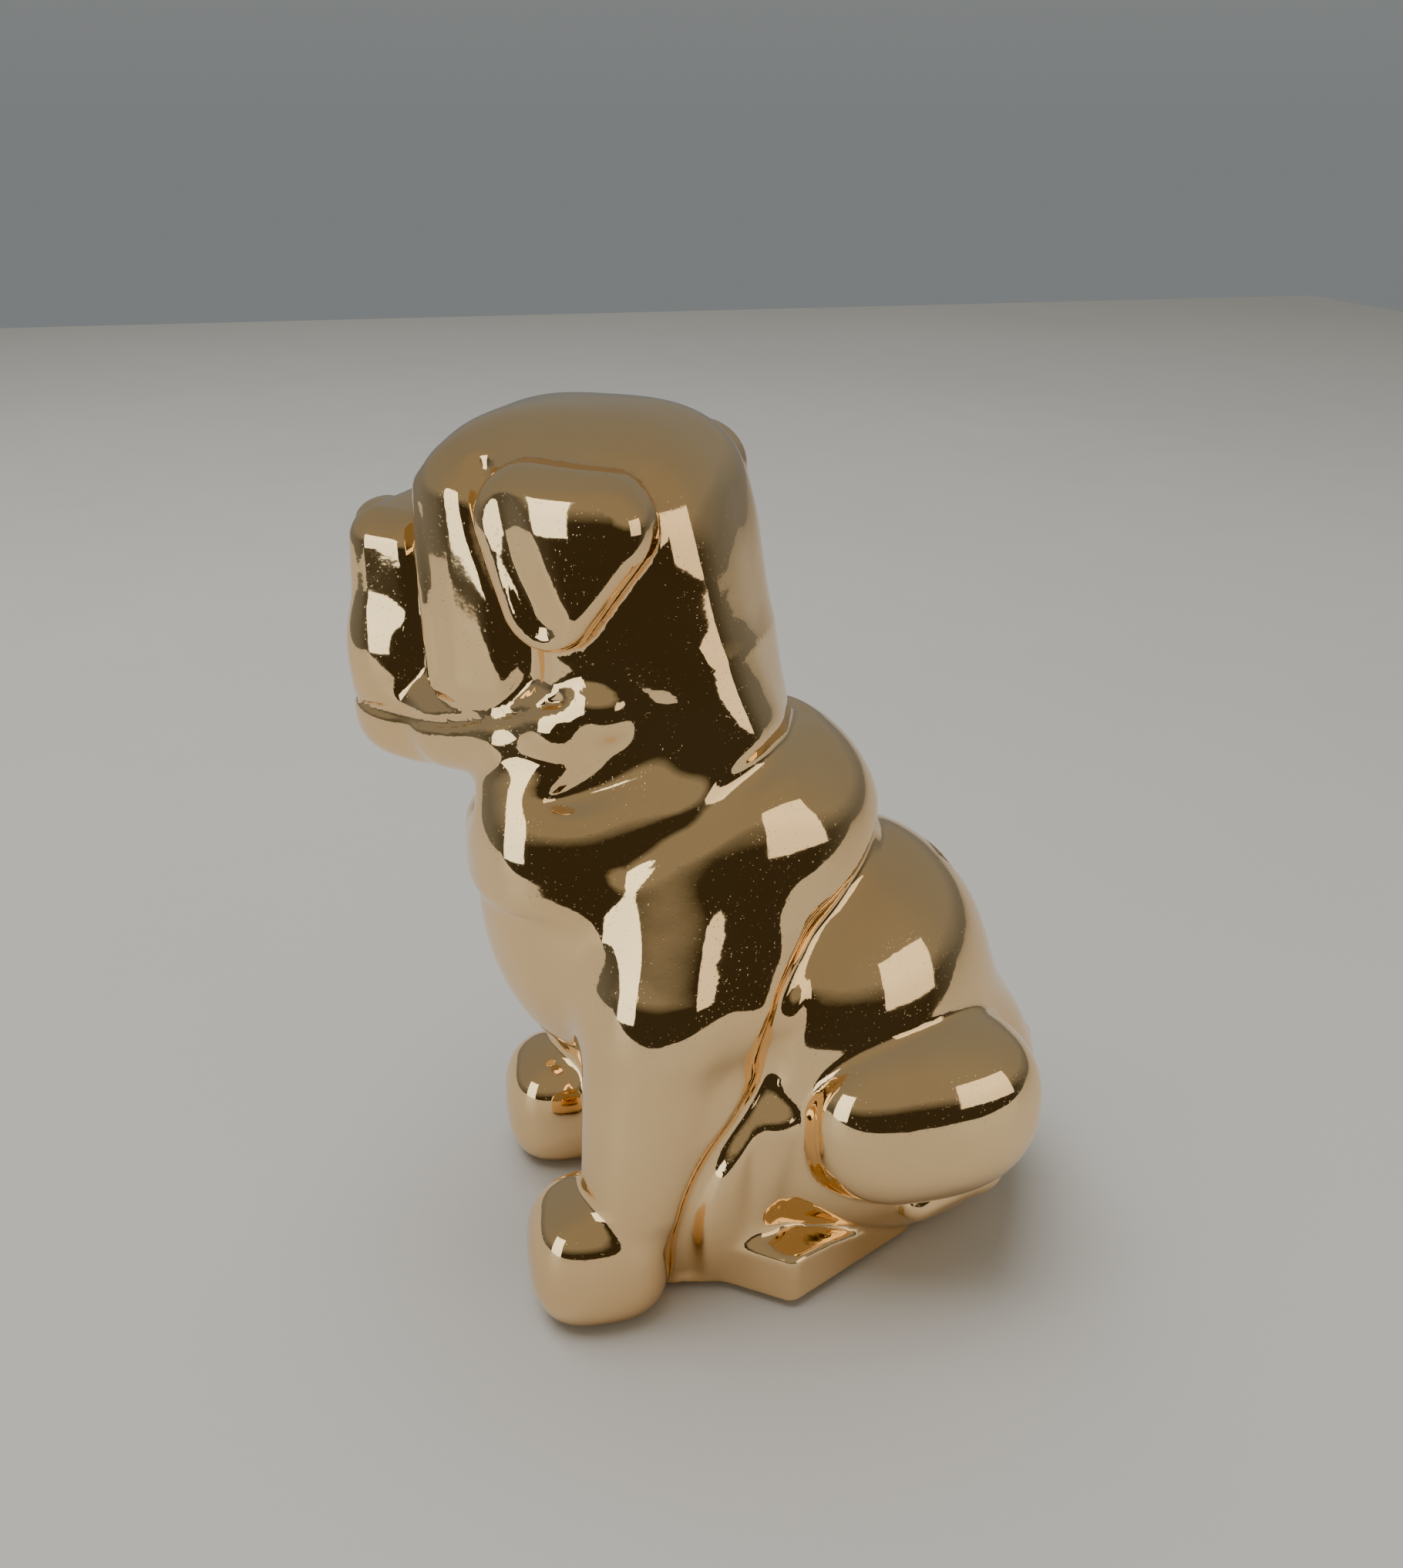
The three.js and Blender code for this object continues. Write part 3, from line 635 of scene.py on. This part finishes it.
# ------------------------------------------------------------------ floor, light and camera
# The table's near edge is 165 mm out on the puppy's left. Past it there is only the dark part of
# the surroundings, and the upper flank mirrors that.
TABLE = ((-1.6, -0.6), (0.165, 1.2))
TABLE_T = 0.03
floor_shape = bmesh.new()
bmesh.ops.create_cube(floor_shape, size=1)
for v in floor_shape.verts:
    v.co.x, v.co.y = (TABLE[int(c > 0)][n] for n, c in enumerate(v.co.xy))
    v.co.z = 0 if v.co.z > 0 else -TABLE_T
bmesh.ops.bevel(floor_shape, geom=floor_shape.edges[:], offset=0.004, segments=4, affect="EDGES")
floor_mesh = bpy.data.meshes.new("floor")
floor_shape.to_mesh(floor_mesh)
floor_shape.free()
floor = bpy.data.objects.new("floor", floor_mesh)
bpy.context.collection.objects.link(floor)
floor_mesh.materials.append(studio_floor())

AIM = Vector((0, 0, 0.08))


def softbox(
    name, azimuth, elevation, distance, width, height, power, colour=(1, 1, 1), mirrored=True
):
    """Area light round the object; azimuth 90 is on the puppy's left, 0 in front of it."""
    data = bpy.data.lights.new(name, "AREA")
    data.shape, data.size, data.size_y = "RECTANGLE", width, height
    data.energy, data.color = power, colour
    lamp = bpy.data.objects.new(name, data)
    a, e = math.radians(azimuth), math.radians(elevation)
    way = Vector((math.sin(a) * math.cos(e), -math.cos(a) * math.cos(e), math.sin(e)))
    lamp.location = AIM + distance * way
    lamp.rotation_euler = (AIM - lamp.location).to_track_quat("-Z", "Y").to_euler()
    lamp.visible_camera = False
    lamp.visible_glossy = mirrored
    bpy.context.collection.objects.link(lamp)


softbox("window_front", 32, 6, 1.2, 0.5, 0.75, 4, (0.93, 1.0, 0.96))
softbox("window_rear", 132, 8, 1.2, 0.8, 0.6, 3, (1.0, 0.93, 0.78))
softbox("overhead", 330, 75, 1.4, 1.2, 1.2, 34, (1, 1, 1), False)

world = bpy.data.worlds.new("studio")
bpy.context.scene.world = world
world.use_nodes = True
tree = world.node_tree
direction = node(tree, "ShaderNodeTexCoord")
split = node(tree, "ShaderNodeSeparateXYZ")
tree.links.new(direction.outputs["Generated"], split.inputs["Vector"])


def along(axis, *stops):
    """Colour of the surroundings by direction; -1 to 1 along an axis is 0 to 1 in the stops."""
    shade = node(tree, "ShaderNodeMapRange")
    for key, value in {"From Min": -1.0, "From Max": 1.0, "To Min": 0.0, "To Max": 1.0}.items():
        shade.inputs[key].default_value = value
    tree.links.new(split.outputs[axis], shade.inputs["Value"])
    return ramp(tree, shade.outputs["Result"], *stops)


# Grey behind the puppy, and darkness past the near edge of the table.
below = along(
    "X", (0.1, (0.34, 0.36, 0.36)), (0.5, (0.24, 0.25, 0.25)), (0.78, (0.08, 0.074, 0.066))
)
above = along(
    "X", (0.1, (0.42, 0.44, 0.43)), (0.5, (0.44, 0.44, 0.4)), (0.8, (0.52, 0.48, 0.38))
)
horizon = along("Z", (0.5, 0.0), (0.6, 1.0))
sky = node(tree, "ShaderNodeMix", data_type="RGBA")
tree.links.new(horizon, sky.inputs["Factor"])
tree.links.new(below, sky.inputs["A"])
tree.links.new(above, sky.inputs["B"])
tree.links.new(sky.outputs["Result"], tree.nodes["Background"].inputs["Color"])

camera_data = bpy.data.cameras.new("camera")
camera_data.sensor_fit = "VERTICAL"
camera_data.sensor_height = 36
camera_data.lens = 32.3
camera = bpy.data.objects.new("camera", camera_data)
camera.location = Vector((234.4, -54.9, 210)) * MM
camera.rotation_euler = Vector((-0.8865, 0.1884, -0.4226)).to_track_quat("-Z", "Y").to_euler()
bpy.context.collection.objects.link(camera)
bpy.context.scene.camera = camera
bpy.context.scene.view_settings.view_transform = "AgX"
bpy.context.scene.view_settings.look = "AgX - Punchy"
